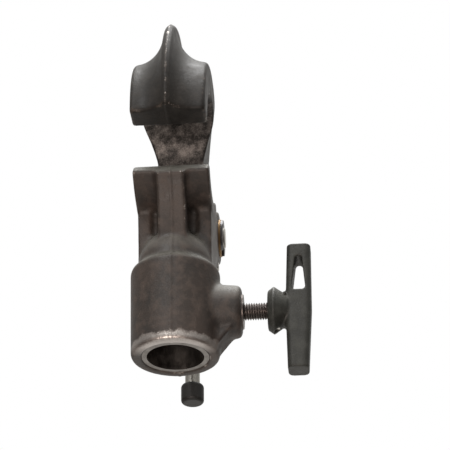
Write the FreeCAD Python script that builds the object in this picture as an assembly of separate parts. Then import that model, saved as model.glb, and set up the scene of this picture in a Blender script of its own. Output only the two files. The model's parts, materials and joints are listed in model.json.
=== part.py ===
"""Pipe clamp of the super clamp kind, with a 28 mm socket below the jaws.

A ribbed hook swings over a round pipe and closes on a fixed saddle. A screw with a sliding
tommy bar, carried in the hook's tail, pushes against the back of the body and pulls the hook
down. A second screw with a T-handle holds a spigot in the socket.

Millimetres. The origin is on the gripped pipe's axis, at the middle of the clamp's width.
+X runs along the pipe towards the T-handle, -Y is the open front of the jaws, +Z is up.
"""
import FreeCAD, Part
import math
import os

V = FreeCAD.Vector
ORIGIN = V(0, 0, 0)
X_AXIS = V(1, 0, 0)
Y_AXIS = V(0, 1, 0)
Z_AXIS = V(0, 0, 1)

# Fits ---------------------------------------------------------------------------------------
RUN_GAP = 0.05                  # radial gap of a turning or sliding fit
SIDE_GAP = 0.3                  # gap beside a piece that swings between two others
PAST = 1.0                      # how far a cut runs past the surface that it starts from

# Hook ---------------------------------------------------------------------------------------
PIPE_R = 24.15                  # 48.3 mm scaffold pipe
SEAT_R = PIPE_R + RUN_GAP       # both jaws are machined to this radius
HOOK_W = 37.0                   # width of the hook's flange
FLANGE_R = 37.0                 # outer radius of the flange at its edges
FLANGE_BEVEL = 1.3
HOOK_TIP_DEG = 180.0            # where the hook ends, from +Y over the top
HOOK_ROOT_DEG = 10.0            # where the hook meets its shank, behind the pipe
HOOK_FULL_DEG = 68.0            # where the flange reaches its full width
HOOK_SECTIONS = 14
CREST_R = 51.0                  # the rib's crest follows this circle, which is off the
CREST_Y = 6.0                   # pipe's axis, so that the rib is low at the hook's tip
CREST_Z = 8.0
CREST_HALF = 2.6                # half the width of the crest's rounded top
CREST_ROUND = 2.2               # how far the rounded top rises above its sides
FLANK_X = 7.6                   # the hollow flank passes this far from the middle
FLANK_RISE = 0.28               # and at this share of the rib's height
POCKET_DEPTH = 4.5              # hollow in each side of the shank
POCKET_ROUND = 2.5
TAIL_FRONT = 51.0               # the tail's boss for the clamping screw, along Y
TAIL_BACK = 65.0

# Pivot --------------------------------------------------------------------------------------
PIVOT_Y = 42.0
PIVOT_Z = -24.0
PIVOT_PIN_R = 5.0
PIVOT_EYE_R = 13.0
PIN_OVERHANG = 3.0
PIN_BEVEL = 0.6
CHEEK_BUSH_R = 7.0
BUSH_FLANGE_R = 8.8
BUSH_FLANGE_T = 1.0
CLIP_GROOVE_R = 4.2
CLIP_R = 8.4
CLIP_T = 1.2
CLIP_SLACK = 0.02
CLIP_MOUTH = 3.2                # half the width of the clip's open side
CLIP_LOBE_R = 1.7               # notches that leave the clip's three lobes
CLIP_LOBE_AT = 6.6
SPRING_ROOM_R = 9.8             # pocket in the pivot eye for the return spring
SPRING_ROOM_W = 4.2
SPRING_WIRE_R = 0.6
SPRING_COIL_R = 8.0
SPRING_TURNS = 4
SPRING_START_DEG = 250.0
SPRING_END_GAP = 0.3
STOP_PIN_R = 2.0                # limits how far the hook opens
STOP_PIN_Y = 37.2
STOP_PIN_Z = -41.0

# Body ---------------------------------------------------------------------------------------
SADDLE_W = 38.0
SADDLE_T = 7.5
SADDLE_TIP_DEG = 222.0
SADDLE_END_DEG = 312.0
WEB_W = 14.0                    # middle rib under the saddle
RIB_RISE = 3.2                  # how far the rib stands out of the saddle
CHEEK_IN = 12.0                 # the two cheeks that carry the pivot pin
CHEEK_T = 6.5
CHEEK_EYE_R = 12.5
SWING_GAP = 0.8                 # round the hook's eye
BARREL_R = 22.5
BARREL_BOTTOM = -104.0
BARREL_BEVEL = 1.0
SHOULDER_Z = -60.5              # the barrel ends here and a narrower dome starts
SHOULDER_ROUND = 3.0
DOME_R = 18.6
DOME_TOP = -43.0
DOME_TOP_R = 7.0
THRUST_BOSS_R = 11.0
THRUST_BOSS_START = 6.0
SIDE_Z = -82.0                  # axis of the T-handle's screw
BOSS_R_ROOT = 13.5
BOSS_R_END = 12.0
BOSS_ROOT = 14.0
BOSS_END = 33.6
BOSS_ROUND = 2.6
FOOT_HALF = 8.0                 # sloping foot between the boss and the barrel's end

# Fittings in the body -----------------------------------------------------------------------
SOCKET_R = 14.5                 # takes a 28.6 mm spigot
SOCKET_DEPTH = 42.0
SLEEVE_T = 2.5
SLEEVE_INSET = 0.6
LOCK_R = 2.5                    # dowel that locks the sleeve
LOCK_SHORT = 1.0                # sleeve wall left inside the dowel's tip
LOCK_INSET = 0.8
LOCK_Z = BARREL_BOTTOM + SOCKET_DEPTH - 8.0
INSERT_R = 6.5
INSERT_START = 24.5
INSERT_FLANGE_R = 8.0
INSERT_FLANGE_T = 0.8
THRUST_FACE = 25.0              # where the clamping screw bears on the body
THRUST_PAD_R = 8.0
THRUST_PAD_T = 6.0
THRUST_PAD_INSET = 2.0          # casting below the pad's face

# T-handle and its screw ---------------------------------------------------------------------
SIDE_SCREW_R = 4.0
PAD_R = 4.2
PAD_START = SOCKET_R + 0.5
PAD_END = 21.0
NECK_R = 2.0
NECK_TIP = PAD_START + 2.7
PAD_BORE_START = PAD_START + 2.5
PAD_GROOVE = (PAD_START + 3.0, PAD_START + 4.3)
PAD_RING = (PAD_START + 3.1, PAD_START + 4.2)
RING_BITE = 0.5                 # how deep the ring sits in the neck
RING_RISE = 0.7                 # and how far it stands out
HUB_START = 46.7
HUB_LIP_R = 9.0
HUB_R = 11.0
HUB_LIP = 3.0
HUB_WAIST_R = 6.8
BAR_START = 55.5
BAR_T = 13.0
BAR_HALF = 30.5
BAR_DEPTH = 6.0                 # half of it
BAR_TAPER = 1.2
BAR_ROUND = 3.0
SCREW_IN_BAR = 6.0
WINDOW_BOTTOM = 8.0             # window in the upper arm, above the screw's axis
WINDOW_TOP = 24.5
WINDOW_WIDE = 3.6
WINDOW_NARROW = 1.6
WINDOW_ROUND = 1.2
SIDE_PIN_R = 1.5
SIDE_PIN_X = HUB_START + 4.5
SIDE_PIN_HALF = 9.0

# Clamping screw -----------------------------------------------------------------------------
SCREW_Z = -52.0
SCREW_R = 6.0
BUSH_R = 9.0                    # threaded bush in the tail
SCREW_BUSH_FLANGE = 1.5
CAP_R = 6.0                     # domed cap on the screw's tip
CAP_CLEAR = 0.2                 # between the cap and the thrust pad
CAP_CENTRE = THRUST_FACE + CAP_CLEAR + CAP_R
CAP_END = CAP_CENTRE + 1.4
TIP_R = 3.5
TIP_START = CAP_CENTRE - 3.3
TIP_GAP = 0.2
CAP_GROOVE = (CAP_CENTRE - 1.5, CAP_CENTRE + 0.2)
CAP_GROOVE_DEPTH = 1.2
CAP_RING = (CAP_CENTRE - 1.4, CAP_CENTRE + 0.1)
CAP_RING_BITE = 0.7
CAP_RING_RISE = 0.9
HEAD_START = 73.0
HEAD_LENGTH = 17.0
HEAD_R = 10.0
HEAD_BEVEL = 1.5
SCREW_END = HEAD_START + 6.5
HEAD_PIN_R = 2.0
HEAD_PIN_Y = HEAD_START + 4.0
HEAD_PIN_INSET = 0.6
TOMMY_R = 4.0
TOMMY_HALF = 38.0
TOMMY_Y = HEAD_START + 11.0
TOMMY_SPIGOT = 8.0              # turned-down end inside each cap
TOMMY_CORE_R = 3.0
BAR_CAP_R = 6.2
BAR_CAP_LENGTH = 10.0
BAR_CAP_ROUND = 1.8


# Helpers ------------------------------------------------------------------------------------
def at(radius, degrees):
    """(y, z) at a radius from the pipe's axis and an angle from +Y over the top."""
    angle = math.radians(degrees)
    return radius * math.cos(angle), radius * math.sin(angle)


def contour(*stretches):
    """Flat face in the YZ plane from straight stretches of two (y, z) and arcs of three."""
    edges = []
    for stretch in stretches:
        spots = [V(0, y, z) for y, z in stretch]
        edge = Part.makeLine(*spots) if len(spots) == 2 else Part.Arc(*spots).toShape()
        edges.append(edge)
    return Part.Face(Part.Wire(edges))


def polygon(corners):
    return Part.Face(Part.makePolygon(corners + corners[:1]))


def plate(face, x_from, x_to):
    """Prism along X of a face in the YZ plane."""
    prism = face.extrude(X_AXIS * (x_to - x_from))
    prism.translate(X_AXIS * x_from)
    return prism


def slab(corners, half):
    """Prism of corners in the XZ plane, from y = -half to y = half."""
    prism = polygon(corners).extrude(Y_AXIS * (2 * half))
    prism.translate(Y_AXIS * -half)
    return prism


def rod_x(r, x_from, x_to, y, z):
    return Part.makeCylinder(r, x_to - x_from, V(x_from, y, z), X_AXIS)


def rod_y(r, y_from, y_to, x, z):
    return Part.makeCylinder(r, y_to - y_from, V(x, y_from, z), Y_AXIS)


def rod_z(r, z_from, z_to, x=0.0, y=0.0):
    return Part.makeCylinder(r, z_to - z_from, V(x, y, z_from), Z_AXIS)


def ring_x(r_out, r_in, x_from, x_to, y, z):
    bore = rod_x(r_in, x_from - PAST, x_to + PAST, y, z)
    return rod_x(r_out, x_from, x_to, y, z).cut(bore)


def ring_y(r_out, r_in, y_from, y_to, z):
    bore = rod_y(r_in, y_from - PAST, y_to + PAST, 0, z)
    return rod_y(r_out, y_from, y_to, 0, z).cut(bore)


def box(x0, x1, y0, y1, z0, z1):
    return Part.makeBox(x1 - x0, y1 - y0, z1 - z0, V(x0, y0, z0))


def joined(first, *others):
    return first.fuse(list(others)).removeSplitter()


def without(shape, *tools):
    for tool in tools:
        shape = shape.cut(tool)
    return shape


def mirrored(shape):
    return shape.mirror(ORIGIN, X_AXIS)


def rounded(shape, radius, choose):
    """Fillets the edges that choose(edge) picks."""
    return shape.makeFillet(radius, [e for e in shape.Edges if choose(e)])


def bevelled(shape, size, choose):
    return shape.makeChamfer(size, [e for e in shape.Edges if choose(e)])


def spans(edge):
    """How far an edge reaches along X, Y and Z."""
    bounds = edge.BoundBox
    return bounds.XLength, bounds.YLength, bounds.ZLength


def along_x(edge):
    x, y, z = spans(edge)
    return x > PAST > max(y, z)


# Hook ---------------------------------------------------------------------------------------
def crest_radius(angle):
    """Distance from the pipe's axis to the rib's crest, at an angle from +Y over the top."""
    along = CREST_Y * math.cos(angle) + CREST_Z * math.sin(angle)
    return along + math.sqrt(CREST_R ** 2 - CREST_Y ** 2 - CREST_Z ** 2 + along ** 2)


def blended(share, first, second):
    """A value that moves from the first to the second with no kink at either end."""
    share = min(max(share, 0), 1)
    ease = share * share * (3 - 2 * share)
    return first + ease * (second - first)


def hook_section(degrees):
    """Flange over the seat and a rib with hollow flanks on top, cut at one angle.

    Towards the root the flange narrows and rises until the section is as solid as the shank.
    """
    share = (degrees - HOOK_ROOT_DEG) / (HOOK_FULL_DEG - HOOK_ROOT_DEG)
    half = blended(share, CHEEK_IN - SIDE_GAP, HOOK_W / 2)
    inside = SEAT_R - PAST
    crest = crest_radius(math.radians(degrees))
    rib_top = crest - CREST_ROUND
    foot_r = blended(share, rib_top - FLANGE_BEVEL, FLANGE_R + FLANGE_BEVEL)
    flank_r = foot_r + FLANK_RISE * (rib_top - foot_r)

    def side(sign):
        foot = V(sign * (half - FLANGE_BEVEL), foot_r, 0)
        edge = V(sign * half, foot_r - FLANGE_BEVEL, 0)
        flank = Part.Arc(foot, V(sign * FLANK_X, flank_r, 0), V(sign * CREST_HALF, rib_top, 0))
        return [Part.makeLine(V(sign * half, inside, 0), edge), Part.makeLine(edge, foot),
                flank.toShape()]

    top = Part.Arc(V(CREST_HALF, rib_top, 0), V(0, crest, 0), V(-CREST_HALF, rib_top, 0))
    seat = Part.makeLine(V(-half, inside, 0), V(half, inside, 0))
    wire = Part.Wire(side(1) + [top.toShape()] + side(-1)[::-1] + [seat])
    wire.rotate(ORIGIN, X_AXIS, degrees)
    return wire


def hook_arm():
    """Loft of the section round the pipe, from behind it to the tip in front."""
    sweep = HOOK_TIP_DEG - HOOK_ROOT_DEG
    turns = [HOOK_ROOT_DEG + sweep * i / HOOK_SECTIONS for i in range(HOOK_SECTIONS + 1)]
    return Part.makeLoft([hook_section(turn) for turn in turns], True)


def hook_shank():
    """The narrow part behind the pipe, down to the pivot eye, with a pocket in each side."""
    half = CHEEK_IN - SIDE_GAP
    front_top, front_low = (23.0, 12.0), (29.4, -20.0)
    back_top, back_low = (55.6, 12.0), (54.9, -20.0)
    eye_middle = (PIVOT_Y, PIVOT_Z)
    neck = contour((front_top, (25.4, -3.0), front_low), (front_low, eye_middle),
                   (eye_middle, back_low), (back_low, (56.2, -4.0), back_top),
                   (back_top, front_top))
    eye = rod_x(PIVOT_EYE_R, -half, half, PIVOT_Y, PIVOT_Z)
    shank = joined(plate(neck, -half, half), eye)
    top_front, low_front = (33.5, 5.0), (36.5, -8.0)
    top_back, low_back = (49.0, 5.0), (49.4, -8.0)
    hollow = contour((top_front, low_front), (low_front, low_back),
                     (low_back, (50.0, -1.5), top_back), (top_back, top_front))
    pockets = [rounded(plate(hollow, x, x + POCKET_DEPTH), POCKET_ROUND, along_x)
               for x in (-half, half - POCKET_DEPTH)]
    return without(shank, *pockets)


def hook_tail():
    """Arm below the pivot, ending in a round boss for the clamping screw."""
    half = CHEEK_IN - SIDE_GAP
    throat, knee = (44.0, -30.0), (TAIL_FRONT, -41.0)
    front_low, back_low = (TAIL_FRONT, SCREW_Z), (TAIL_BACK, SCREW_Z)
    back_top, heel = (TAIL_BACK, -42.0), (54.8, -22.0)
    arm = contour((throat, knee), (knee, front_low), (front_low, back_low),
                  (back_low, back_top), (back_top, (57.0, -34.0), heel), (heel, throat))
    return joined(plate(arm, -half, half), rod_y(half, TAIL_FRONT, TAIL_BACK, 0, SCREW_Z))


def hook_jaw():
    room = SPRING_ROOM_W
    return without(
        joined(hook_arm(), hook_shank(), hook_tail()),
        rod_x(SEAT_R, -HOOK_W, HOOK_W, 0, 0),
        rod_x(PIVOT_PIN_R + RUN_GAP, -HOOK_W, HOOK_W, PIVOT_Y, PIVOT_Z),
        rod_x(SPRING_ROOM_R, -room, room, PIVOT_Y, PIVOT_Z),
        box(-room, room, PIVOT_Y - PIVOT_EYE_R - PAST, PIVOT_Y, PIVOT_Z - SPRING_ROOM_R,
            PIVOT_Z + STOP_PIN_R),
        rod_y(BUSH_R, TAIL_FRONT - PAST, TAIL_BACK + PAST, 0, SCREW_Z),
    ).removeSplitter()


# Pivot --------------------------------------------------------------------------------------
def clip_start():
    """Inner face of the retaining clip, beyond the cheek and its bush's flange."""
    return CHEEK_IN + CHEEK_T + BUSH_FLANGE_T + RUN_GAP


def pivot_pin():
    """Plain pin with a groove near each end for a retaining clip."""
    reach = CHEEK_IN + CHEEK_T + PIN_OVERHANG
    pin = rod_x(PIVOT_PIN_R, -reach, reach, PIVOT_Y, PIVOT_Z)
    pin = bevelled(pin, PIN_BEVEL, lambda e: spans(e)[0] < PIN_BEVEL)
    groove = ring_x(PIVOT_PIN_R + PAST, CLIP_GROOVE_R, clip_start(), clip_start() + CLIP_T,
                    PIVOT_Y, PIVOT_Z)
    return without(pin, groove, mirrored(groove))


def pivot_bushes():
    """Flanged plain bush in each cheek, with the flange outside."""
    inner = PIVOT_PIN_R + RUN_GAP / 2
    outside = CHEEK_IN + CHEEK_T
    sleeve = ring_x(CHEEK_BUSH_R, inner, CHEEK_IN, outside, PIVOT_Y, PIVOT_Z)
    flange = ring_x(BUSH_FLANGE_R, inner, outside, outside + BUSH_FLANGE_T, PIVOT_Y, PIVOT_Z)
    bush = joined(sleeve, flange)
    return Part.makeCompound([bush, mirrored(bush)])


def pivot_clips():
    """E-clip on each end of the pin: a ring with three lobes and an open side."""
    start, end = clip_start(), clip_start() + CLIP_T
    ring = ring_x(CLIP_R, CLIP_GROOVE_R + CLIP_SLACK, start + CLIP_SLACK, end - CLIP_SLACK,
                  PIVOT_Y, PIVOT_Z)
    below = PIVOT_Z - CLIP_R - PAST
    mouth = box(start - PAST, end + PAST, PIVOT_Y - CLIP_MOUTH, PIVOT_Y + CLIP_MOUTH, below,
                PIVOT_Z)
    notches = []
    for y, z in (at(CLIP_LOBE_AT, 30), at(CLIP_LOBE_AT, 150)):
        notches.append(rod_x(CLIP_LOBE_R, start - PAST, end + PAST, PIVOT_Y + y, PIVOT_Z + z))
    clip = without(ring, mouth, *notches)
    return Part.makeCompound([clip, mirrored(clip)])


def return_spring():
    """Torsion spring's coil round the pivot pin."""
    points_per_turn = 16
    steps = SPRING_TURNS * points_per_turn
    width = 2 * (SPRING_ROOM_W - SPRING_WIRE_R - SPRING_END_GAP)
    path = []
    for i in range(steps + 1):
        y, z = at(SPRING_COIL_R, SPRING_START_DEG + 360 * i / points_per_turn)
        path.append(V(width * (i / steps - 0.5), PIVOT_Y + y, PIVOT_Z + z))
    curve = Part.BSplineCurve()
    curve.interpolate(path)
    heading = curve.tangent(curve.FirstParameter)[0]
    ring = Part.Wire(Part.makeCircle(SPRING_WIRE_R, path[0], heading))
    return Part.Wire(curve.toShape()).makePipeShell([ring], True, True)


def stop_pin():
    """Pin between the cheeks that limits how far the hook opens."""
    reach = CHEEK_IN + CHEEK_T
    return rod_x(STOP_PIN_R, -reach, reach, STOP_PIN_Y, STOP_PIN_Z)


# Body ---------------------------------------------------------------------------------------
def saddle():
    """Curved seat under the pipe."""
    half = SADDLE_W / 2
    outer = SEAT_R + SADDLE_T
    section = polygon([V(-half, SEAT_R, 0), V(half, SEAT_R, 0), V(half, outer, 0),
                       V(-half, outer, 0)])
    swept = section.revolve(ORIGIN, X_AXIS, SADDLE_END_DEG - SADDLE_TIP_DEG)
    swept.rotate(ORIGIN, X_AXIS, SADDLE_TIP_DEG)
    return swept


def barrel():
    """Socket barrel with a rounded shoulder and a narrower dome on top."""
    top, dome_foot = V(DOME_TOP_R, 0, DOME_TOP), V(DOME_R, 0, SHOULDER_Z)
    flat = V(BARREL_R - SHOULDER_ROUND, 0, SHOULDER_Z)
    wall_top = V(BARREL_R, 0, SHOULDER_Z - SHOULDER_ROUND)
    bend = SHOULDER_ROUND * (1 - math.sqrt(0.5))
    wall_low = V(BARREL_R, 0, BARREL_BOTTOM + BARREL_BEVEL)
    rim = V(BARREL_R - BARREL_BEVEL, 0, BARREL_BOTTOM)
    dome_bulge = V(0.84 * DOME_R, 0, 0.62 * DOME_TOP + 0.38 * SHOULDER_Z)
    profile = [
        Part.makeLine(V(0, 0, DOME_TOP), top),
        Part.Arc(top, dome_bulge, dome_foot).toShape(),
        Part.makeLine(dome_foot, flat),
        Part.Arc(flat, V(BARREL_R - bend, 0, SHOULDER_Z - bend), wall_top).toShape(),
        Part.makeLine(wall_top, wall_low),
        Part.makeLine(wall_low, rim),
        Part.makeLine(rim, V(0, 0, BARREL_BOTTOM)),
        Part.makeLine(V(0, 0, BARREL_BOTTOM), V(0, 0, DOME_TOP)),
    ]
    return Part.Face(Part.Wire(profile)).revolve(ORIGIN, Z_AXIS, 360)


def cheek():
    """One of the two side plates between the barrel and the pivot."""
    under = SEAT_R + SADDLE_T / 2
    front_top, seat_back = at(under, 258), at(under, 312)
    front_low, low, back_low = (-3.0, -62.0), (8.0, -70.0), (20.5, -66.0)
    eye_low, eye_middle, eye_front = (47.0, -35.5), (PIVOT_Y, PIVOT_Z), (30.0, -20.0)
    side = contour((front_top, at(under, 285), seat_back), (seat_back, eye_front),
                   (eye_front, eye_middle), (eye_middle, eye_low),
                   (eye_low, (29.5, -47.5), back_low), (back_low, low), (low, front_low),
                   (front_low, (-3.6, -46.0), front_top))
    end = CHEEK_IN + CHEEK_T
    eye = rod_x(CHEEK_EYE_R, CHEEK_IN, end, PIVOT_Y, PIVOT_Z)
    return joined(plate(side, CHEEK_IN, end), eye)


def web():
    """Middle rib that stands out of the saddle from its lip down to the dome."""
    under, crown = SEAT_R + PAST, SEAT_R + SADDLE_T + RIB_RISE
    lip, tip = at(under, SADDLE_TIP_DEG), at(crown, SADDLE_TIP_DEG)
    front_low, back_low, back_top = (-14.5, -54.0), (14.0, -54.0), at(under, 306)
    rib = contour((lip, tip), (tip, (-18.2, -38.0), front_low), (front_low, back_low),
                  (back_low, back_top), (back_top, at(under, 264), lip))
    return plate(rib, -WEB_W / 2, WEB_W / 2)


def side_boss():
    """Tapered boss for the T-handle's screw, with a sloping foot below it."""
    cone = Part.makeCone(BOSS_R_ROOT, BOSS_R_END, BOSS_END - BOSS_ROOT, V(BOSS_ROOT, 0, SIDE_Z),
                         X_AXIS)
    cone = rounded(cone, BOSS_ROUND, lambda e: e.BoundBox.XMin > BOSS_END - PAST)
    root = V(BOSS_ROOT, 0, SIDE_Z)
    under_end = V(BOSS_END - BOSS_ROUND, 0, SIDE_Z - FOOT_HALF)
    barrel_end = V(BARREL_R - BARREL_BEVEL, 0, BARREL_BOTTOM + 3 * BARREL_BEVEL)
    inner_end = V(BOSS_ROOT, 0, BARREL_BOTTOM + 6 * BARREL_BEVEL)
    return joined(cone, slab([root, under_end, barrel_end, inner_end], FOOT_HALF))


def body_casting():
    sleeve_r = SOCKET_R + SLEEVE_T
    sleeve_top = BARREL_BOTTOM + SOCKET_DEPTH + SLEEVE_T
    reach = CHEEK_IN + CHEEK_T + PAST
    boss_face = THRUST_FACE - THRUST_PAD_INSET
    whole = joined(saddle(), web(), barrel(), cheek(), mirrored(cheek()), side_boss(),
                   rod_y(THRUST_BOSS_R, THRUST_BOSS_START, boss_face, 0, SCREW_Z))
    return without(
        whole,
        rod_z(sleeve_r, BARREL_BOTTOM - PAST, sleeve_top),
        rod_x(SEAT_R, -SADDLE_W, SADDLE_W, 0, 0),
        rod_x(CHEEK_BUSH_R, -reach, reach, PIVOT_Y, PIVOT_Z),
        rod_x(PIVOT_EYE_R + SWING_GAP, -CHEEK_IN, CHEEK_IN, PIVOT_Y, PIVOT_Z),
        rod_x(INSERT_R, INSERT_START, BOSS_END + PAST, 0, SIDE_Z),
        rod_x(PAD_R + RUN_GAP, sleeve_r - PAST, INSERT_START + PAST, 0, SIDE_Z),
        rod_y(THRUST_PAD_R, THRUST_FACE - THRUST_PAD_T, THRUST_FACE, 0, SCREW_Z),
        rod_x(STOP_PIN_R, -reach, reach, STOP_PIN_Y, STOP_PIN_Z),
        rod_y(LOCK_R, 0, BARREL_R + PAST, 0, LOCK_Z),
    ).removeSplitter()


# Fittings in the body -----------------------------------------------------------------------
def socket_sleeve():
    """Steel liner of the socket with a closed top, a side hole and a blind hole behind."""
    top = BARREL_BOTTOM + SOCKET_DEPTH
    return without(
        rod_z(SOCKET_R + SLEEVE_T, BARREL_BOTTOM + SLEEVE_INSET, top + SLEEVE_T),
        rod_z(SOCKET_R, BARREL_BOTTOM - PAST, top),
        rod_x(PAD_R + RUN_GAP, 0, BARREL_R, 0, SIDE_Z),
        rod_y(LOCK_R, SOCKET_R + LOCK_SHORT, BARREL_R, 0, LOCK_Z),
    )


def sleeve_dowel():
    """Dowel from the back of the barrel into the sleeve, so that it can't turn or drop."""
    return rod_y(LOCK_R, SOCKET_R + LOCK_SHORT, BARREL_R - LOCK_INSET, 0, LOCK_Z)


def thrust_pad():
    """Hardened button let into the back of the body."""
    button = rod_y(THRUST_PAD_R, THRUST_FACE - THRUST_PAD_T, THRUST_FACE, 0, SCREW_Z)
    return bevelled(button, PAST, lambda e: e.BoundBox.YMin > THRUST_FACE - PAST)


def boss_insert():
    """Threaded steel insert in the side boss, with a flange outside."""
    bore = SIDE_SCREW_R + RUN_GAP
    sleeve = ring_x(INSERT_R, bore, INSERT_START, BOSS_END, 0, SIDE_Z)
    flange = ring_x(INSERT_FLANGE_R, bore, BOSS_END, BOSS_END + INSERT_FLANGE_T, 0, SIDE_Z)
    return joined(sleeve, flange)


# T-handle and its screw ---------------------------------------------------------------------
def spigot_pad():
    """Brass pad that the side screw presses on the spigot; it doesn't turn."""
    return without(
        rod_x(PAD_R, PAD_START, PAD_END, 0, SIDE_Z),
        rod_x(NECK_R + RUN_GAP, PAD_BORE_START, PAD_END + PAST, 0, SIDE_Z),
        rod_x(NECK_R + PAST, *PAD_GROOVE, 0, SIDE_Z),
    )


def pad_ring():
    """Split ring on the screw's neck that keeps the pad on."""
    ring = ring_x(NECK_R + RING_RISE, NECK_R - RING_BITE, *PAD_RING, 0, SIDE_Z)
    below = SIDE_Z - NECK_R - PAST
    return ring.cut(box(PAD_START, PAD_END, -RING_BITE, RING_BITE, below, SIDE_Z))


def side_screw():
    """M8 screw with a grooved neck inside the pad."""
    neck = rod_x(NECK_R, NECK_TIP, PAD_END + PAST, 0, SIDE_Z)
    groove = ring_x(NECK_R + PAST, NECK_R - RING_BITE, *PAD_RING, 0, SIDE_Z)
    shaft = rod_x(SIDE_SCREW_R, PAD_END + 2 * RUN_GAP, BAR_START + SCREW_IN_BAR, 0, SIDE_Z)
    return joined(neck.cut(groove), shaft).cut(side_pin_hole())


def side_pin_hole():
    return rod_z(SIDE_PIN_R, SIDE_Z - 2 * HUB_R, SIDE_Z + 2 * HUB_R, SIDE_PIN_X)


def side_handle():
    """Cast T-handle: flared hub, solid lower arm and an upper arm with a tapered window."""
    lip_end = HUB_START + HUB_LIP
    lip = Part.makeCone(HUB_LIP_R, HUB_R, HUB_LIP, V(HUB_START, 0, SIDE_Z), X_AXIS)
    flare = Part.makeCone(HUB_R, HUB_WAIST_R, BAR_START + PAST - lip_end,
                          V(lip_end, 0, SIDE_Z), X_AXIS)
    return without(
        joined(lip, flare, side_bar()),
        handle_window(),
        rod_x(SIDE_SCREW_R, HUB_START - PAST, BAR_START + SCREW_IN_BAR, 0, SIDE_Z),
        side_pin_hole(),
    )


def side_bar():
    """The T-handle's bar, which tapers a little towards both ends."""
    end = BAR_START + BAR_T
    low, high = SIDE_Z - BAR_HALF, SIDE_Z + BAR_HALF
    slim = BAR_TAPER / 2
    corners = [V(BAR_START, 0, SIDE_Z), V(BAR_START + slim, 0, high), V(end - slim, 0, high),
               V(end, 0, SIDE_Z), V(end - BAR_TAPER, 0, low), V(BAR_START + BAR_TAPER, 0, low)]
    return rounded(slab(corners, BAR_DEPTH), BAR_ROUND, lambda e: spans(e)[2] > BAR_HALF / 2)


def handle_window():
    """Opening through the upper arm, wider towards the hub."""
    middle = BAR_START + BAR_T / 2
    bottom, top = SIDE_Z + WINDOW_BOTTOM, SIDE_Z + WINDOW_TOP
    corners = [V(middle - WINDOW_WIDE, 0, bottom), V(middle - WINDOW_NARROW, 0, top),
               V(middle + WINDOW_NARROW, 0, top), V(middle + WINDOW_WIDE, 0, bottom)]
    hole = slab(corners, BAR_DEPTH + PAST)
    return rounded(hole, WINDOW_ROUND, lambda e: spans(e)[1] > BAR_DEPTH)


def side_pin():
    """Pin through the T-handle's hub and its screw."""
    return rod_z(SIDE_PIN_R, SIDE_Z - SIDE_PIN_HALF, SIDE_Z + SIDE_PIN_HALF, SIDE_PIN_X)


# Clamping screw -----------------------------------------------------------------------------
def screw_bush():
    """Bronze threaded bush in the hook's tail, with a flange at the back."""
    bore = SCREW_R + RUN_GAP
    sleeve = ring_y(BUSH_R, bore, TAIL_FRONT, TAIL_BACK, SCREW_Z)
    flange = ring_y(BUSH_R + SCREW_BUSH_FLANGE, bore, TAIL_BACK, TAIL_BACK + SCREW_BUSH_FLANGE,
                    SCREW_Z)
    return joined(sleeve, flange)


def thrust_cap():
    """Domed cap on the screw's tip; it bears on the thrust pad and doesn't turn."""
    dome = Part.makeSphere(CAP_R, V(0, CAP_CENTRE, SCREW_Z))
    front = rod_y(CAP_R, CAP_CENTRE - CAP_R - PAST, CAP_CENTRE, 0, SCREW_Z)
    return without(
        joined(dome.common(front), rod_y(CAP_R, CAP_CENTRE, CAP_END, 0, SCREW_Z)),
        rod_y(TIP_R + RUN_GAP, TIP_START - TIP_GAP, CAP_END + PAST, 0, SCREW_Z),
        rod_y(TIP_R + CAP_GROOVE_DEPTH, *CAP_GROOVE, 0, SCREW_Z),
    )


def tip_ring(outer):
    """Ring in the screw tip's groove, out to a radius."""
    return ring_y(outer, TIP_R - CAP_RING_BITE, *CAP_RING, SCREW_Z)


def cap_ring():
    """Split ring in the tip's groove that keeps the cap on."""
    outer = TIP_R + CAP_RING_RISE
    gap = box(-CAP_RING_BITE, CAP_RING_BITE, *CAP_RING, SCREW_Z - outer, SCREW_Z)
    return tip_ring(outer).cut(gap)


def head_pin_hole():
    return rod_x(HEAD_PIN_R, -2 * HEAD_R, 2 * HEAD_R, HEAD_PIN_Y, SCREW_Z)


def clamp_screw():
    """M12 screw from its grooved tip to the head."""
    tip = rod_y(TIP_R, TIP_START, CAP_END + PAST, 0, SCREW_Z).cut(tip_ring(TIP_R + PAST))
    shaft = rod_y(SCREW_R, CAP_END + TIP_GAP, SCREW_END, 0, SCREW_Z)
    return joined(tip, shaft).cut(head_pin_hole())


def screw_head():
    """Round head with a cross hole for the tommy bar."""
    end = HEAD_START + HEAD_LENGTH
    head = rod_y(HEAD_R, HEAD_START, end, 0, SCREW_Z)
    head = bevelled(head, HEAD_BEVEL, lambda e: spans(e)[1] < HEAD_BEVEL)
    return without(
        head,
        rod_y(SCREW_R, HEAD_START - PAST, SCREW_END, 0, SCREW_Z),
        head_pin_hole(),
        rod_z(TOMMY_R + RUN_GAP, SCREW_Z - 2 * HEAD_R, SCREW_Z + 2 * HEAD_R, 0, TOMMY_Y),
    )


def head_pin():
    """Pin through the head and the screw."""
    reach = HEAD_R - HEAD_PIN_INSET
    return rod_x(HEAD_PIN_R, -reach, reach, HEAD_PIN_Y, SCREW_Z)


def tommy_bar():
    """Sliding bar with turned-down ends for the caps."""
    inner = TOMMY_HALF - TOMMY_SPIGOT
    return joined(
        rod_z(TOMMY_R, SCREW_Z - inner, SCREW_Z + inner, 0, TOMMY_Y),
        rod_z(TOMMY_CORE_R, SCREW_Z - TOMMY_HALF, SCREW_Z + TOMMY_HALF, 0, TOMMY_Y),
    )


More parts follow.
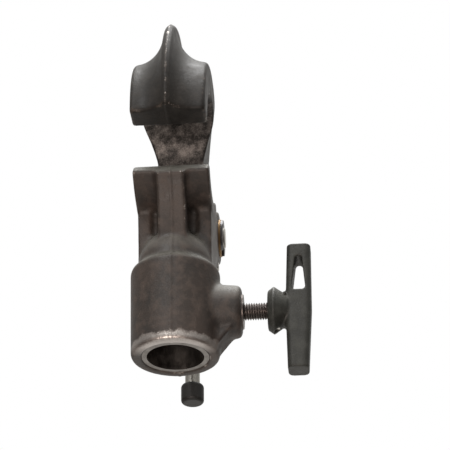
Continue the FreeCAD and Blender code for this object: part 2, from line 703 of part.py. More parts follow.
def bar_caps():
    """Moulded cap on each end of the tommy bar."""
    start = SCREW_Z + TOMMY_HALF - TOMMY_SPIGOT
    cap = rod_z(BAR_CAP_R, start, start + BAR_CAP_LENGTH, 0, TOMMY_Y)
    cap = rounded(cap, BAR_CAP_ROUND, lambda e: spans(e)[2] < PAST)
    cap = cap.cut(rod_z(TOMMY_CORE_R, start - PAST, start + TOMMY_SPIGOT, 0, TOMMY_Y))
    other = cap.mirror(V(0, 0, SCREW_Z), Z_AXIS)
    return Part.makeCompound([cap, other])


# Nodes --------------------------------------------------------------------------------------
NODES = {
    "body_casting": body_casting,
    "socket_sleeve": socket_sleeve,
    "sleeve_dowel": sleeve_dowel,
    "thrust_pad": thrust_pad,
    "opening_stop_pin": stop_pin,
    "boss_threaded_insert": boss_insert,
    "hook_jaw": hook_jaw,
    "hook_pivot_pin": pivot_pin,
    "pivot_bushes": pivot_bushes,
    "pivot_clips": pivot_clips,
    "hook_return_spring": return_spring,
    "screw_bush": screw_bush,
    "thrust_cap": thrust_cap,
    "thrust_cap_ring": cap_ring,
    "clamp_screw": clamp_screw,
    "screw_head": screw_head,
    "screw_head_pin": head_pin,
    "tommy_bar": tommy_bar,
    "tommy_bar_caps": bar_caps,
    "spigot_pad": spigot_pad,
    "spigot_pad_ring": pad_ring,
    "side_screw": side_screw,
    "side_t_handle": side_handle,
    "side_handle_pin": side_pin,
}


def main():
    os.makedirs("parts", exist_ok=True)
    for name, make in NODES.items():
        make().exportStep(f"parts/{name}.step")


main()
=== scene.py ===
"""Finished look of the pipe clamp: castings, threads, wear and finishes around the CAD frame."""
import json
import math

import bmesh
import bpy
import numpy as np
from mathutils import Matrix, Vector


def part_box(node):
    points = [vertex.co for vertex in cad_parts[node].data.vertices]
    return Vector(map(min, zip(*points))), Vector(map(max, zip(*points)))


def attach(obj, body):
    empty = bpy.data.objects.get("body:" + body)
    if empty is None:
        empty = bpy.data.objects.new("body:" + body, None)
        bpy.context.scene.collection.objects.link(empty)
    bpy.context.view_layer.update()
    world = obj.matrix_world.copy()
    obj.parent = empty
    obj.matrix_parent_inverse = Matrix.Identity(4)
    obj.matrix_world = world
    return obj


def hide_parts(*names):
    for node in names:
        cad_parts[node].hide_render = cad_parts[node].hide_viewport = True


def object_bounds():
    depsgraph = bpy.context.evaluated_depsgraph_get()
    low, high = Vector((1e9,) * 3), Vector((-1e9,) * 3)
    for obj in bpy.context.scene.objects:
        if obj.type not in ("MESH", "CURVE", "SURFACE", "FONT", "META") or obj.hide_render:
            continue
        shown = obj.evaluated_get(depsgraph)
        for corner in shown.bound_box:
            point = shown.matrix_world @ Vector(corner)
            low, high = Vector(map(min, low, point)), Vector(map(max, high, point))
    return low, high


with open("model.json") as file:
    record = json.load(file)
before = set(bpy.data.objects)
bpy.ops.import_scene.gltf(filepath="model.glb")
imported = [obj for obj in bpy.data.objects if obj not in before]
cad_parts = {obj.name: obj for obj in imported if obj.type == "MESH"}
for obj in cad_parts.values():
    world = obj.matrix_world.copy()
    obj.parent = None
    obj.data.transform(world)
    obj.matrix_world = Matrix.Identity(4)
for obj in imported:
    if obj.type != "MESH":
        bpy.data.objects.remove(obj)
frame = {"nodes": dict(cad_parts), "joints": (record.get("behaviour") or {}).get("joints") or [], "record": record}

cad_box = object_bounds()

MM = 0.001
TAU = 2 * math.pi
NODES = frame["nodes"]
BODY_OF = {n: b for b, ns in frame["record"]["behaviour"]["bodies"].items() for n in ns}
MOUNTS = {m["name"]: m for m in frame["record"]["mounts"]}
JOINTS = {j["name"]: j for j in frame["joints"]}

X_AXIS = Vector((1, 0, 0))
Y_AXIS = Vector((0, 1, 0))
Z_AXIS = Vector((0, 0, 1))

# Places from the record
SEAT_R = MOUNTS["pipe_jaws"]["dims"]["r_mm"] * MM
PIVOT = Vector(JOINTS["hook_swing"]["pos_m"])
SIDE_Z = JOINTS["side_screw_turn"]["pos_m"][2]
SCREW_Z = JOINTS["clamp_screw_turn"]["pos_m"][2]

# Holes that are machined into the castings and screws
CHEEK_BUSH_R = 7.0 * MM
INSERT_R = 6.5 * MM
HOOK_PIVOT_R = 5.05 * MM
TAIL_BUSH_R = 9.0 * MM
SIDE_SCREW_R = 4.0 * MM
SPRING_ROOM_R = 9.8 * MM
SPRING_ROOM_W = 8.4 * MM
CUT_LENGTH = 60 * MM             # longer than any bore in a casting
PIN_CUT_LENGTH = 40 * MM         # and than any pin hole in a screw

# Castings
COARSER = 1.15                   # voxel of the first two remeshes, against the last one's
SMOOTH_SHARES = (0.55, -0.5)     # towards the neighbours, then back, so that nothing shrinks
SEAM_WIDTH = 0.55 * MM
SEAM_FACING = 0.6                # no seam where a surface faces more sideways than this
SEAT_REACH = 0.8 * MM            # and none this close to the pipe's seat
STOP_REACH = 22 * MM             # or this close to the hook's pin, for the stop pin
WEAR_SPREAD = 3                  # rounds of averaging with the neighbours
WEAR_HEIGHT = 0.05 * MM          # a vertex this far above its neighbours is worn most
CAST_CREASE = 38                 # degrees between two faces that show as a crisp edge
THREAD_CREASE = 30
BEVEL_CREASE = 40

# Screws
CLAMP_PITCH = 1.75 * MM
CLAMP_BEVEL = 1.0 * MM
CLAMP_TIP_R = 3.5 * MM           # turned-down tips and necks that the caps hold on to
CLAMP_GROOVE_R = 2.8 * MM
SIDE_PITCH = 1.25 * MM
SIDE_BEVEL = 0.7 * MM
SIDE_NECK_R = 2.0 * MM
SIDE_GROOVE_R = 1.5 * MM
TIP_GAP = 0.2 * MM
THREAD_DEPTH = 0.54              # depth, runout and flats are in pitches
THREAD_RUNOUT = 1.5
CREST_FLAT = 1 / 8
ROOT_FLAT = 1 / 4
STEPS_PER_PITCH = 12
SHAFT_SIDES = 72


# Mesh helpers -------------------------------------------------------------------------------
def new_object(name, mesh):
    made = bpy.data.objects.new(name, mesh)
    bpy.context.scene.collection.objects.link(made)
    return made


def axes_for(axis):
    """Rotation that takes +Z to the axis."""
    return Vector(axis).to_track_quat("Z", "Y").to_matrix().to_4x4()


def cylinder(radius, centre, axis, length, sides=96):
    """Closed cylinder used as a cutter, centred on a point."""
    mesh = bpy.data.meshes.new("cutter")
    bm = bmesh.new()
    place = Matrix.Translation(centre) @ axes_for(axis)
    bmesh.ops.create_cone(bm, cap_ends=True, segments=sides, radius1=radius, radius2=radius,
                          depth=length, matrix=place)
    bm.to_mesh(mesh)
    bm.free()
    return new_object("cutter", mesh)


def bake(obj):
    """Applies an object's modifiers to its mesh."""
    graph = bpy.context.evaluated_depsgraph_get()
    mesh = bpy.data.meshes.new_from_object(obj.evaluated_get(graph))
    obj.modifiers.clear()
    old = obj.data
    obj.data = mesh
    bpy.data.meshes.remove(old)


def remesh(obj, voxel):
    change = obj.modifiers.new("remesh", "REMESH")
    change.mode = "VOXEL"
    change.voxel_size = voxel
    bake(obj)


def read(items, name, width, kind=np.float32):
    """One property of every vertex or edge, as rows of an array."""
    values = np.empty(len(items) * width, kind)
    items.foreach_get(name, values)
    return values.reshape(-1, width)


def coordinates(mesh):
    return read(mesh.vertices, "co", 3).astype(float)


def normals(mesh):
    return read(mesh.vertex_normals, "vector", 3).astype(float)


def edge_ends(mesh):
    return read(mesh.edges, "vertices", 2, np.int32)


def set_coordinates(mesh, co):
    mesh.vertices.foreach_set("co", co.astype(np.float32).ravel())
    mesh.update()


def neighbour_mean(values, ends):
    """Mean of each vertex's neighbours, for one value or one vector a vertex."""
    total = np.zeros_like(values)
    count = np.zeros(len(values))
    for a, b in ((0, 1), (1, 0)):
        np.add.at(total, ends[:, a], values[ends[:, b]])
        np.add.at(count, ends[:, a], 1)
    count = np.maximum(count, 1)
    return total / (count[:, None] if values.ndim > 1 else count)


def smooth(obj, rounds):
    """Rounds edges by moving each vertex towards its neighbours, and back a little."""
    co = coordinates(obj.data)
    ends = edge_ends(obj.data)
    for _ in range(rounds):
        for share in SMOOTH_SHARES:
            co = co + share * (neighbour_mean(co, ends) - co)
    set_coordinates(obj.data, co)


def inflate(obj, distance):
    set_coordinates(obj.data, coordinates(obj.data) + distance * normals(obj.data))


def store(mesh, name, values):
    layer = mesh.attributes.new(name, "FLOAT", "POINT")
    layer.data.foreach_set("value", values.astype(np.float32))


def mark_edges(obj):
    """Stores how convex the surface is, for paint wear, and how hollow it is, for grime and painted shade."""
    mesh = obj.data
    co, n, ends = coordinates(mesh), normals(mesh), edge_ends(mesh)
    lean = ((co - neighbour_mean(co, ends)) * n).sum(1)
    for _ in range(WEAR_SPREAD):
        lean = 0.5 * lean + 0.5 * neighbour_mean(lean, ends)
    store(mesh, "worn", np.clip(lean / WEAR_HEIGHT, 0, 1))
    store(mesh, "grime_and_shade", np.clip(-lean / WEAR_HEIGHT, 0, 1))


def parting_line(obj, height, ground_off):
    """Raises the seam that two mould halves leave at x = 0, but not in circles (y, z, radius)."""
    mesh = obj.data
    co, n = coordinates(mesh), normals(mesh)
    rise = height * np.exp(-(co[:, 0] / SEAM_WIDTH) ** 2) * (np.abs(n[:, 0]) < SEAM_FACING)
    for y, z, radius in ground_off:
        rise[np.hypot(co[:, 1] - y, co[:, 2] - z) < radius] = 0
    set_coordinates(mesh, co + rise[:, None] * n)


def machine(obj, cutters):
    """Cuts round seats and holes with crisp edges."""
    for cutter in cutters:
        change = obj.modifiers.new("cut", "BOOLEAN")
        change.operation = "DIFFERENCE"
        change.solver = "MANIFOLD"
        change.object = cutter
        bpy.context.view_layer.update()
        bake(obj)
        bpy.data.objects.remove(cutter)


def shade(obj, degrees):
    obj.data.shade_smooth()
    obj.data.set_sharp_from_angle(angle=math.radians(degrees))


def dress(obj, finish):
    """Gives a piece its finish."""
    obj.data.materials.clear()
    obj.data.materials.append(finishes[finish])


def casting(node, name, cutters, voxel, fillet, rounds, seam, ground_off=()):
    """A casting made from its CAD solid: filleted corners, rounded edges, then machined."""
    obj = new_object(name, NODES[node].data.copy())
    obj.data.materials.clear()
    remesh(obj, voxel * COARSER)
    inflate(obj, fillet)
    remesh(obj, voxel * COARSER)
    inflate(obj, -fillet)
    remesh(obj, voxel)
    smooth(obj, rounds)
    seat = (0, 0, SEAT_R + SEAT_REACH)
    parting_line(obj, seam, [seat, *ground_off])
    low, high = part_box(node)
    set_coordinates(obj.data, np.clip(coordinates(obj.data), low, high))
    mark_edges(obj)
    machine(obj, cutters)
    shade(obj, CAST_CREASE)
    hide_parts(node)
    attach(obj, BODY_OF[node])
    return obj


class Thread:
    """Right-handed metric thread between two places along a shaft, in metres."""

    def __init__(self, start, end, pitch):
        self.start = start
        self.end = end
        self.pitch = pitch
        self.depth = THREAD_DEPTH * pitch

    def rows(self):
        count = int((self.end - self.start) / self.pitch * STEPS_PER_PITCH)
        return [self.start + (self.end - self.start) * i / count for i in range(count + 1)]

    def cut(self, along, turns):
        """How deep the thread is cut at a place along the shaft and round it."""
        to_end = min(along - self.start, self.end - along)
        fade = np.clip(to_end / (THREAD_RUNOUT * self.pitch), 0, 1)
        slope = np.abs(2 * ((along / self.pitch - turns) % 1) - 1)
        flank = 1 - CREST_FLAT - ROOT_FLAT
        return fade * self.depth * np.clip((slope - CREST_FLAT) / flank, 0, 1)


def shaft_faces(rows, sides):
    """Side faces between neighbouring rings of points, and a cap on each end."""
    faces = []
    for row in range(rows - 1):
        for i in range(sides):
            j = (i + 1) % sides
            a, b = row * sides, (row + 1) * sides
            faces.append((a + i, a + j, b + j, b + i))
    last = (rows - 1) * sides
    faces.append(tuple(range(sides))[::-1])
    faces.append(tuple(last + i for i in range(sides)))
    return faces


def lathe(name, outline, centre, axis, thread):
    """Closed shaft from (along, radius) points, with a thread cut into its thickest part."""
    turns = np.arange(SHAFT_SIDES) / SHAFT_SIDES
    plain = [(along, np.full(SHAFT_SIDES, radius)) for along, radius in outline]
    thickest = max(radius for _, radius in outline)
    before = [row for row in plain if row[0] <= thread.start]
    after = [row for row in plain if row[0] > thread.start]
    cuts = [(along, thickest - thread.cut(along, turns)) for along in thread.rows()]
    rows = before + cuts + after
    points = []
    for along, radii in rows:
        ring = zip(radii * np.cos(TAU * turns), radii * np.sin(TAU * turns))
        points += [(x, y, along) for x, y in ring]
    mesh = bpy.data.meshes.new(name)
    mesh.from_pydata(points, [], shaft_faces(len(rows), SHAFT_SIDES))
    mesh.transform(Matrix.Translation(centre) @ axes_for(axis))
    return new_object(name, mesh)


# Node trees ---------------------------------------------------------------------------------
def rgba(value):
    """A colour gets full alpha, and anything else is passed on."""
    return (*value, 1) if isinstance(value, tuple) else value


class Tree:
    """Short names for the nodes of a material or world."""

    def __init__(self, tree):
        self.tree = tree

    def node(self, kind, **settings):
        made = self.tree.nodes.new(kind)
        for key, value in settings.items():
            setattr(made, key, value)
        return made

    def feed(self, socket, value):
        if isinstance(value, bpy.types.NodeSocket):
            self.tree.links.new(value, socket)
        else:
            socket.default_value = value

    def part(self, vector, name):
        """One component of a vector: X, Y or Z."""
        split = self.node("ShaderNodeSeparateXYZ")
        self.feed(split.inputs[0], vector)
        return split.outputs[name]

    def span(self, value, low, high, to_low=0.0, to_high=1.0):
        """Maps low..high to to_low..to_high, held at the ends."""
        made = self.node("ShaderNodeMapRange", clamp=True)
        self.feed(made.inputs["Value"], value)
        for socket, number in zip(("From Min", "From Max", "To Min", "To Max"),
                                  (low, high, to_low, to_high)):
            made.inputs[socket].default_value = number
        return made.outputs["Result"]

    def maths(self, operation, a, b=0.0, c=0.0):
        made = self.node("ShaderNodeMath", operation=operation)
        for socket, value in zip(made.inputs, (a, b, c)):
            self.feed(socket, value)
        return made.outputs["Value"]

    def times(self, a, b):
        return self.maths("MULTIPLY", a, b)

    def larger(self, a, b):
        return self.maths("MAXIMUM", a, b)

    def colour(self, share, first, second):
        """Colour from first to second."""
        made = self.node("ShaderNodeMix", data_type="RGBA")
        for socket, value in zip(made.inputs[:1] + made.inputs[6:8], (share, first, second)):
            self.feed(socket, rgba(value))
        return made.outputs[2]

    def between(self, share, first, second):
        """Plain number from first to second."""
        made = self.node("ShaderNodeMix", data_type="FLOAT")
        for socket, value in zip(made.inputs[:1] + made.inputs[2:4], (share, first, second)):
            self.feed(socket, value)
        return made.outputs[0]


class Finish(Tree):
    """One material, with noise and relief in the object's own metres."""

    def __init__(self, name):
        self.material = bpy.data.materials.new(name)
        self.material.use_nodes = True
        super().__init__(self.material.node_tree)
        self.shader = self.tree.nodes["Principled BSDF"]
        self.place = self.node("ShaderNodeTexCoord").outputs["Object"]
        self.normal = None

    def noise(self, size, detail=4.0, rough=0.55, stretch=(1, 1, 1), bend=0.0):
        """Noise from 0 to 1 with features of about size metres."""
        mapping = self.node("ShaderNodeMapping")
        self.feed(mapping.inputs["Vector"], self.place)
        mapping.inputs["Scale"].default_value = stretch
        made = self.node("ShaderNodeTexNoise")
        self.feed(made.inputs["Vector"], mapping.outputs["Vector"])
        for socket, number in zip(("Scale", "Detail", "Roughness", "Distortion"),
                                  (1.0 / size, detail, rough, bend)):
            made.inputs[socket].default_value = number
        return made.outputs["Fac"]

    def cells(self, size):
        """Distance from the nearest of many points, for pits of about size metres."""
        made = self.node("ShaderNodeTexVoronoi")
        self.feed(made.inputs["Vector"], self.place)
        made.inputs["Scale"].default_value = 1.0 / size
        return made.outputs["Distance"]

    def attribute(self, name):
        return self.node("ShaderNodeAttribute", attribute_name=name).outputs["Fac"]

    def axis(self, name):
        """Place along X, Y or Z."""
        return self.part(self.place, name)

    def facing_up(self):
        return self.part(self.node("ShaderNodeNewGeometry").outputs["Normal"], "Z")

    def bump(self, height, depth):
        """Adds relief of a depth in metres."""
        made = self.node("ShaderNodeBump")
        self.feed(made.inputs["Height"], height)
        made.inputs["Distance"].default_value = depth
        if self.normal is not None:
            self.feed(made.inputs["Normal"], self.normal)
        self.normal = made.outputs["Normal"]

    def done(self, colour, metallic, rough, gloss=0.5):
        for name, value in (("Base Color", colour), ("Metallic", metallic), ("Roughness", rough),
                            ("Specular IOR Level", gloss)):
            self.feed(self.shader.inputs[name], rgba(value))
        if self.normal is not None:
            self.feed(self.shader.inputs["Normal"], self.normal)
        return self.material


# Bare metal on the castings -----------------------------------------------------------------
def rubbed_seat(f, ragged):
    """Paint rubbed off where a jaw bears on the pipe, least at its edges."""
    y, z = f.axis("Y"), f.axis("Z")
    from_pipe = f.maths("SQRT", f.maths("ADD", f.times(y, y), f.times(z, z)))
    near = f.span(from_pipe, SEAT_R + 0.5 * MM, SEAT_R + 0.05 * MM)
    return f.times(near, f.span(ragged, 0.70, 1.05, 0.0, 0.42))


def bare_on_body(f, ragged):
    """Bare metal on the saddle's seat and, with a ragged edge, on the front of the socket's rim."""
    rim_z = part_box("body_casting")[0].z
    height = f.maths("SUBTRACT", f.axis("Z"), f.times(ragged, 4.6 * MM))
    front = f.span(f.axis("Y"), -4 * MM, -15 * MM)
    rim = f.times(f.span(height, rim_z + 1.2 * MM, rim_z - 0.4 * MM), front)
    return f.larger(rubbed_seat(f, ragged), rim)


def bare_on_hook(f, ragged):
    """Bare metal where the hook rests on the pipe, and along the top of its crest."""
    crest_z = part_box("hook_jaw")[1].z
    top = f.span(f.axis("Z"), crest_z - 9 * MM, crest_z - 1 * MM)
    middle = f.span(f.maths("ABSOLUTE", f.axis("X")), 2.6 * MM, 1.0 * MM)
    crest = f.times(f.times(top, middle), f.span(ragged, 0.62, 0.90))
    return f.larger(rubbed_seat(f, ragged), f.times(crest, 0.8))


# Materials ----------------------------------------------------------------------------------
BROAD = 22 * MM                  # sizes of the paint's features
BLOTCH = 5 * MM
GRAIN = 0.5 * MM
PITS = 1.1 * MM
SCRATCH = 1.4 * MM
UPRIGHT = (7.0, 7.0, 0.5)        # stretch that draws noise out into upright lines
GRAIN_DEPTH = 0.06 * MM
PIT_DEPTH = 0.04 * MM
BLOTCH_DEPTH = 0.20 * MM
PAINT_DEPTH = 0.09 * MM
# Light tone for upward faces: dust and painted top light
DUST_AND_TOP_LIGHT = (0.190, 0.186, 0.165)
# Dark tone for hollows: grime and painted shade
GRIME_AND_SHADE = (0.012, 0.010, 0.008)
THIN_PAINT = (0.085, 0.068, 0.055)
BARE_DARK = (0.38, 0.35, 0.33)
BARE_LIGHT = (0.66, 0.62, 0.59)


def paint(name, dark, warm, bare_at=None, grain=GRAIN, chips=0.46, dust_and_top_light_share=0.55, gloss=0.5):
    """Black paint on a casting, worn to metal on its edges, with grain, chips, dust and painted top light on
    upward faces, and grime with painted shade in hollows.
    """
    f = Finish(name)
    broad = f.noise(BROAD, 3.0)
    blotch = f.noise(BLOTCH, 5.0, 0.6)
    fine = f.noise(grain, 3.0, 0.6)
    worn, grime_and_shade = f.attribute("worn"), f.attribute("grime_and_shade")

    ragged = f.maths("MULTIPLY_ADD", blotch, 1.1, f.times(fine, 0.55))
    edge = f.times(worn, f.span(ragged, 0.62, 1.15))
    chipped = f.times(f.span(edge, chips, chips + 0.14), f.span(broad, 0.42, 0.58))
    lines = f.span(f.noise(SCRATCH, 2.0, 0.5, UPRIGHT, 0.4), 0.71, 0.76)
    lines = f.times(lines, f.span(broad, 0.48, 0.62))
    bare = f.larger(f.times(chipped, 0.85), f.times(lines, 0.25))
    if bare_at is not None:
        bare = f.larger(bare, bare_at(f, ragged))

    lighter = tuple(2.1 * c for c in warm)
    # Upward faces turn lighter: dust and painted top light
    dust_and_top_light = f.times(f.span(f.facing_up(), 0.10, 0.80), f.span(blotch, 0.25, 0.60, 0.45))
    thin = f.span(edge, chips - 0.12, chips)
    coat = f.colour(f.span(broad, 0.35, 0.65), dark, warm)
    coat = f.colour(f.times(f.span(blotch, 0.45, 0.70), 0.55), coat, lighter)
    coat = f.colour(f.times(dust_and_top_light, dust_and_top_light_share), coat, DUST_AND_TOP_LIGHT)
    # Hollows turn darker: grime and painted shade
    coat = f.colour(f.times(grime_and_shade, 0.60), coat, GRIME_AND_SHADE)
    coat = f.colour(f.times(thin, 0.55), coat, THIN_PAINT)
    bare_tone = f.colour(f.span(fine, 0.3, 0.7), BARE_DARK, BARE_LIGHT)

    f.bump(fine, GRAIN_DEPTH)
    f.bump(f.span(f.cells(PITS), 0.0, 0.5), PIT_DEPTH)
    f.bump(blotch, BLOTCH_DEPTH)
    f.bump(f.maths("SUBTRACT", 1.0, bare), PAINT_DEPTH)
    rough = f.between(f.span(blotch, 0.3, 0.7), 0.42, 0.60)
    rough = f.between(bare, rough, f.span(fine, 0.2, 0.8, 0.26, 0.48))
    return f.done(f.colour(bare, coat, bare_tone), bare, rough, f.between(bare, gloss, 0.5))


def metal(name, tone, dull, rough, lines=(1, 1, 1), stain=(0.05, 0.045, 0.04)):
    """Machined or plated metal with tool lines, stains and dull patches."""
    f = Finish(name)
    turned = f.noise(0.35 * MM, 3.0, 0.6, lines)
    cloud = f.noise(4 * MM, 4.0, 0.6)
    spots = f.span(f.noise(1.3 * MM, 5.0, 0.7), 0.60, 0.74)
    base = f.colour(f.span(turned, 0.25, 0.75), dull, tone)
    base = f.colour(f.times(f.span(cloud, 0.5, 0.8), 0.5), base, dull)
    base = f.colour(f.times(spots, 0.55), base, stain)
    for relief in (turned, cloud):
        f.bump(relief, 0.02 * MM)
    level = f.between(f.span(cloud, 0.3, 0.7), rough * 0.8, rough * 1.35)
    return f.done(base, 1.0, f.maths("ADD", level, f.times(spots, 0.2)))


def plastic(name, tone):
    """Moulded cap: spark-eroded grain and scuffs."""
    f = Finish(name)
    scuff = f.span(f.noise(3 * MM, 6.0, 0.7), 0.55, 0.72)
    base = f.colour(f.times(scuff, 0.4), tone, tuple(3.2 * c for c in tone))
    f.bump(f.noise(0.35 * MM, 2.0, 0.5), 0.05 * MM)
    return f.done(base, 0.0, f.between(scuff, 0.5, 0.75))


AROUND_Z = (1, 1, 9)             # stretches that draw noise out into turned rings
FAINT_AROUND_Z = (1, 1, 4)
finishes = {
    "body": paint("painted_body", dark=(0.030, 0.026, 0.0235), warm=(0.054, 0.041, 0.034),
                  bare_at=bare_on_body, dust_and_top_light_share=1.0),
    # The hook's paint is darker than the body's: partly a blacker coat, partly painted shade on the hook's front
    "hook": paint("painted_hook", dark=(0.015, 0.0135, 0.012), warm=(0.025, 0.0225, 0.020),
                  bare_at=bare_on_hook, dust_and_top_light_share=0.08, gloss=0.28),
    "handle": paint("painted_handle", dark=(0.022, 0.0235, 0.0205), warm=(0.032, 0.034, 0.030),
                    grain=0.35 * MM, chips=0.60),
    "socket": metal("socket_steel", tone=(0.34, 0.32, 0.30), dull=(0.16, 0.15, 0.14),
                    rough=0.38, lines=AROUND_Z),
    "oxide": metal("black_oxide_steel", tone=(0.20, 0.175, 0.165), dull=(0.085, 0.075, 0.070),
                   rough=0.38),
    "zinc": metal("zinc_steel", tone=(0.62, 0.61, 0.57), dull=(0.40, 0.39, 0.36),
                  rough=0.30, lines=FAINT_AROUND_Z),
    "spring": metal("spring_steel", tone=(0.23, 0.23, 0.24), dull=(0.12, 0.12, 0.125),
                    rough=0.34),
    "bronze": metal("bronze", tone=(0.42, 0.28, 0.15), dull=(0.24, 0.155, 0.08),
                    rough=0.40, stain=(0.09, 0.055, 0.03)),
    "brass": metal("brass", tone=(0.72, 0.55, 0.26), dull=(0.48, 0.34, 0.14),
                   rough=0.30, stain=(0.16, 0.10, 0.04)),
    "cap": plastic("cap_plastic", tone=(0.014, 0.014, 0.014)),
}


# Castings -----------------------------------------------------------------------------------
def body_piece():
    """Saddle and barrel, bored for the sleeve, bushes, insert, thrust pad and stop pin."""
    pad_low, pad_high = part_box("thrust_pad")
    sleeve_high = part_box("socket_sleeve")[1]
    insert_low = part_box("boss_threaded_insert")[0]
    stop_low, stop_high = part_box("opening_stop_pin")
    half = CUT_LENGTH / 2
    cutters = [
        cylinder(SEAT_R, (0, 0, 0), X_AXIS, CUT_LENGTH, sides=192),
        cylinder(sleeve_high.x, (0, 0, sleeve_high.z - half), Z_AXIS, CUT_LENGTH),
        cylinder(CHEEK_BUSH_R, PIVOT, X_AXIS, CUT_LENGTH),
        cylinder(INSERT_R, (insert_low.x + half, 0, SIDE_Z), X_AXIS, CUT_LENGTH),
        cylinder((pad_high - pad_low).x / 2, (0, pad_low.y + half, SCREW_Z), Y_AXIS, CUT_LENGTH),
        cylinder((stop_high - stop_low).y / 2, (stop_low + stop_high) / 2, X_AXIS, CUT_LENGTH,
                 sides=32),
    ]
    obj = casting("body_casting", "body_cast", cutters, voxel=0.62 * MM, fillet=1.7 * MM,
                  rounds=10, seam=0.28 * MM)
    dress(obj, "body")


def hook_piece():
    """Hook, bored for its pin and screw bush, with a pocket for the return spring."""
    bush_low, bush_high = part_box("screw_bush")
    tail_y = (bush_low.y + bush_high.y) / 2
    cutters = [
        cylinder(SEAT_R, (0, 0, 0), X_AXIS, CUT_LENGTH, sides=192),
        cylinder(HOOK_PIVOT_R, PIVOT, X_AXIS, CUT_LENGTH, sides=64),
        cylinder(TAIL_BUSH_R, (0, tail_y, SCREW_Z), Y_AXIS, CUT_LENGTH / 2),
        cylinder(SPRING_ROOM_R, PIVOT, X_AXIS, SPRING_ROOM_W),
    ]
    by_pin = (PIVOT.y, PIVOT.z, STOP_REACH)
    obj = casting("hook_jaw", "hook_cast", cutters, voxel=0.62 * MM, fillet=1.8 * MM,
                  rounds=12, seam=0.30 * MM, ground_off=[by_pin])
    dress(obj, "hook")


def handle_piece():
    """T-handle, bored for the side screw."""
    bore_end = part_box("side_screw")[1].x
    bore = cylinder(SIDE_SCREW_R, (bore_end - CUT_LENGTH / 2, 0, SIDE_Z), X_AXIS, CUT_LENGTH,
                    sides=64)
    obj = casting("side_t_handle", "side_t_handle_cast", [bore], voxel=0.32 * MM,
                  fillet=0.9 * MM, rounds=10, seam=0.12 * MM)
    dress(obj, "handle")


# Screws -------------------------------------------------------------------------------------
def finish_screw(obj, node, pin_low, pin_high, pin_r, pin_axis):
    """Drills the hole of the screw's cross pin, and puts the screw in its CAD node's place."""
    hole = cylinder(pin_r, (pin_low + pin_high) / 2, pin_axis, PIN_CUT_LENGTH, sides=48)
    machine(obj, [hole])
    shade(obj, THREAD_CREASE)
    dress(obj, "oxide")
    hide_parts(node)
    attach(obj, BODY_OF[node])


def clamp_screw_piece():
    """M12 screw: a grooved tip inside the thrust cap, then threaded up to its head."""
    low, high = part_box("clamp_screw")
    ring_low, ring_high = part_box("thrust_cap_ring")
    pin_low, pin_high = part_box("screw_head_pin")
    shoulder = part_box("thrust_cap")[1].y + TIP_GAP
    radius, bevel = (high - low).x / 2, CLAMP_BEVEL
    outline = [
        (low.y, CLAMP_TIP_R - bevel / 2), (low.y + bevel / 2, CLAMP_TIP_R),
        (ring_low.y, CLAMP_TIP_R), (ring_low.y, CLAMP_GROOVE_R),
        (ring_high.y, CLAMP_GROOVE_R), (ring_high.y, CLAMP_TIP_R),
        (shoulder, CLAMP_TIP_R), (shoulder, radius - bevel), (shoulder + bevel, radius),
        (high.y - bevel, radius), (high.y, radius - bevel),
    ]
    thread = Thread(shoulder + bevel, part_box("screw_head")[0].y - bevel, CLAMP_PITCH)
    obj = lathe("clamp_screw_threaded", outline, (0, 0, SCREW_Z), Y_AXIS, thread)
    finish_screw(obj, "clamp_screw", pin_low, pin_high, (pin_high - pin_low).y / 2, X_AXIS)


def side_screw_piece():
    """M8 screw: a thin neck inside the brass pad, then threaded up to the T-handle's hub."""
    low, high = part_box("side_screw")
    ring_low, ring_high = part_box("spigot_pad_ring")
    pin_low, pin_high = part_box("side_handle_pin")
    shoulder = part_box("spigot_pad")[1].x + TIP_GAP / 2
    radius, bevel = (high - low).y / 2, SIDE_BEVEL
    outline = [
        (low.x, SIDE_NECK_R), (ring_low.x, SIDE_NECK_R), (ring_low.x, SIDE_GROOVE_R),
        (ring_high.x, SIDE_GROOVE_R), (ring_high.x, SIDE_NECK_R), (shoulder, SIDE_NECK_R),
        (shoulder, radius - bevel), (shoulder + bevel, radius), (high.x - bevel, radius),
        (high.x, radius - bevel),
    ]
    thread = Thread(shoulder + bevel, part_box("side_t_handle")[0].x + bevel, SIDE_PITCH)
    obj = lathe("side_screw_threaded", outline, (0, 0, SIDE_Z), X_AXIS, thread)
    finish_screw(obj, "side_screw", pin_low, pin_high, (pin_high - pin_low).x / 2, Z_AXIS)


# Small pieces that stay as the CAD made them ------------------------------------------------
def carry_over():
    """Gives each small CAD piece its finish and a fine bevel, in millimetres here."""
    looks = {
        "socket_sleeve": ("socket", 0.35), "boss_threaded_insert": ("oxide", 0.2),
        "sleeve_dowel": ("zinc", 0.3), "thrust_pad": ("zinc", 0.2),
        "opening_stop_pin": ("zinc", 0.3), "hook_pivot_pin": ("zinc", 0.1),
        "pivot_bushes": ("bronze", 0.15), "pivot_clips": ("spring", 0.15),
        "hook_return_spring": ("spring", 0.0), "screw_bush": ("bronze", 0.3),
        "thrust_cap": ("bronze", 0.2), "thrust_cap_ring": ("spring", 0.1),
        "screw_head": ("oxide", 0.2), "screw_head_pin": ("zinc", 0.3),
        "tommy_bar": ("zinc", 0.2), "tommy_bar_caps": ("cap", 0.2),
        "spigot_pad": ("brass", 0.2), "spigot_pad_ring": ("spring", 0.1),
        "side_handle_pin": ("zinc", 0.2),
    }
    for node, (finish, bevel) in looks.items():
        obj = NODES[node]
        obj.data.materials.clear()
        obj.data.materials.append(finishes[finish])
        if bevel:
            change = obj.modifiers.new("bevel", "BEVEL")
            change.width = bevel * MM
            change.segments = 2
            change.limit_method = "ANGLE"
            change.angle_limit = math.radians(BEVEL_CREASE)
            change.use_clamp_overlap = True
            change.harden_normals = True


body_piece()
hook_piece()
handle_piece()
clamp_screw_piece()
side_screw_piece()
carry_over()


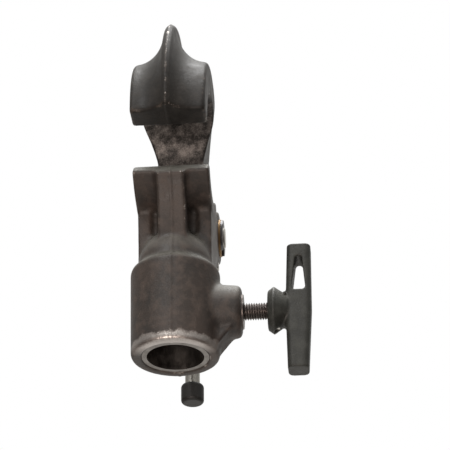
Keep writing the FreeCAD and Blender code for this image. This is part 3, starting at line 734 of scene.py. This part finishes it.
# Stage --------------------------------------------------------------------------------------
def floor():
    """Small pale disc well below the clamp, so that it lights the underside only a little."""
    radius, drop, sides = 0.9, -1.6, 96
    rim = [(radius * math.cos(TAU * i / sides), radius * math.sin(TAU * i / sides), drop)
           for i in range(sides)]
    mesh = bpy.data.meshes.new("floor")
    mesh.from_pydata(rim, [], [tuple(range(sides))])
    obj = new_object("floor", mesh)
    f = Finish("pale_floor")
    tone = f.colour(f.noise(0.5), (0.74, 0.73, 0.71), (0.78, 0.77, 0.75))
    mesh.materials.append(f.done(tone, 0.0, 0.9))


def sky():
    """White to the camera; as light it is bright above and behind, dim aside and warm below."""
    world = bpy.data.worlds.new("studio")
    world.use_nodes = True
    t = Tree(world.node_tree)
    way = t.node("ShaderNodeTexCoord").outputs["Generated"]
    behind = t.span(t.part(way, "Y"), 0.35, 0.80)
    above = t.span(t.part(way, "Z"), -0.30, 0.75)
    dim = t.span(t.maths("ABSOLUTE", t.part(way, "X")), 0.0, 1.0, 1.0, 0.30)
    low_tone = t.colour(behind, (0.26, 0.21, 0.185), (0.85, 0.82, 0.78))
    tone = t.colour(above, low_tone, (1.12, 1.10, 1.06))
    light = t.node("ShaderNodeVectorMath", operation="SCALE")
    t.feed(light.inputs[0], tone)
    t.feed(light.inputs["Scale"], dim)
    to_camera = t.node("ShaderNodeLightPath").outputs["Is Camera Ray"]
    seen = t.colour(to_camera, light.outputs[0], (1.0, 1.0, 1.0))
    t.feed(t.tree.nodes["Background"].inputs["Color"], seen)
    bpy.context.scene.world = world


def lamp(name, spot, target, size, watts, tint=(1.0, 1.0, 1.0)):
    """Round soft lamp that shines from a spot to a target."""
    data = bpy.data.lights.new(name, "AREA")
    data.shape = "DISK"
    data.size = size
    data.energy = watts
    data.color = tint
    obj = bpy.data.objects.new(name, data)
    obj.location = spot
    obj.rotation_mode = "QUATERNION"
    obj.rotation_quaternion = (Vector(target) - Vector(spot)).to_track_quat("-Z", "Y")
    bpy.context.scene.collection.objects.link(obj)


def camera(azimuth, elevation, distance, lens):
    """Level camera below the clamp whose shifted lens keeps it in the frame, with no tilt.

    The shift holds only for this place: a camera that is tilted or raised gets none.
    """
    low, high = cad_box
    centre = (low + high) / 2
    a = math.radians(azimuth)
    rise = math.tan(math.radians(elevation))
    back = Vector((math.sin(a), -math.cos(a), 0))
    data = bpy.data.cameras.new("camera")
    data.lens = lens
    obj = bpy.data.objects.new("camera", data)
    obj.location = centre + distance * (back + rise * Z_AXIS)
    obj.rotation_mode = "QUATERNION"
    obj.rotation_quaternion = (-back).to_track_quat("-Z", "Y")
    bpy.context.scene.collection.objects.link(obj)
    bpy.context.scene.camera = obj
    driver = data.driver_add("shift_y").driver
    for name, channel in (("pitch", "ROT_X"), ("height", "LOC_Z")):
        variable = driver.variables.new()
        variable.name = name
        variable.type = "TRANSFORMS"
        variable.targets[0].id = obj
        variable.targets[0].transform_type = channel
    shift = -rise * lens / data.sensor_width
    halfway = (obj.location.z + centre.z) / 2
    driver.expression = f"{shift:.5f} if abs(pitch-pi/2)<0.001 and height<{halfway:.4f} else 0"


floor()
sky()
lamp("key", spot=(-0.35, -0.9, 0.9), target=(0, 0, -0.03), size=0.45, watts=5)
lamp("low", spot=(-0.20, -1.0, -0.55), target=(0, 0, -0.05), size=0.40, watts=5,
     tint=(1.0, 0.86, 0.78))
lamp("top", spot=(0.1, 0.2, 1.4), target=(0, 0, 0), size=1.0, watts=16)
camera(azimuth=5.0, elevation=-26.4, distance=1.1, lens=172.0)
bpy.context.scene.view_settings.view_transform = "Standard"
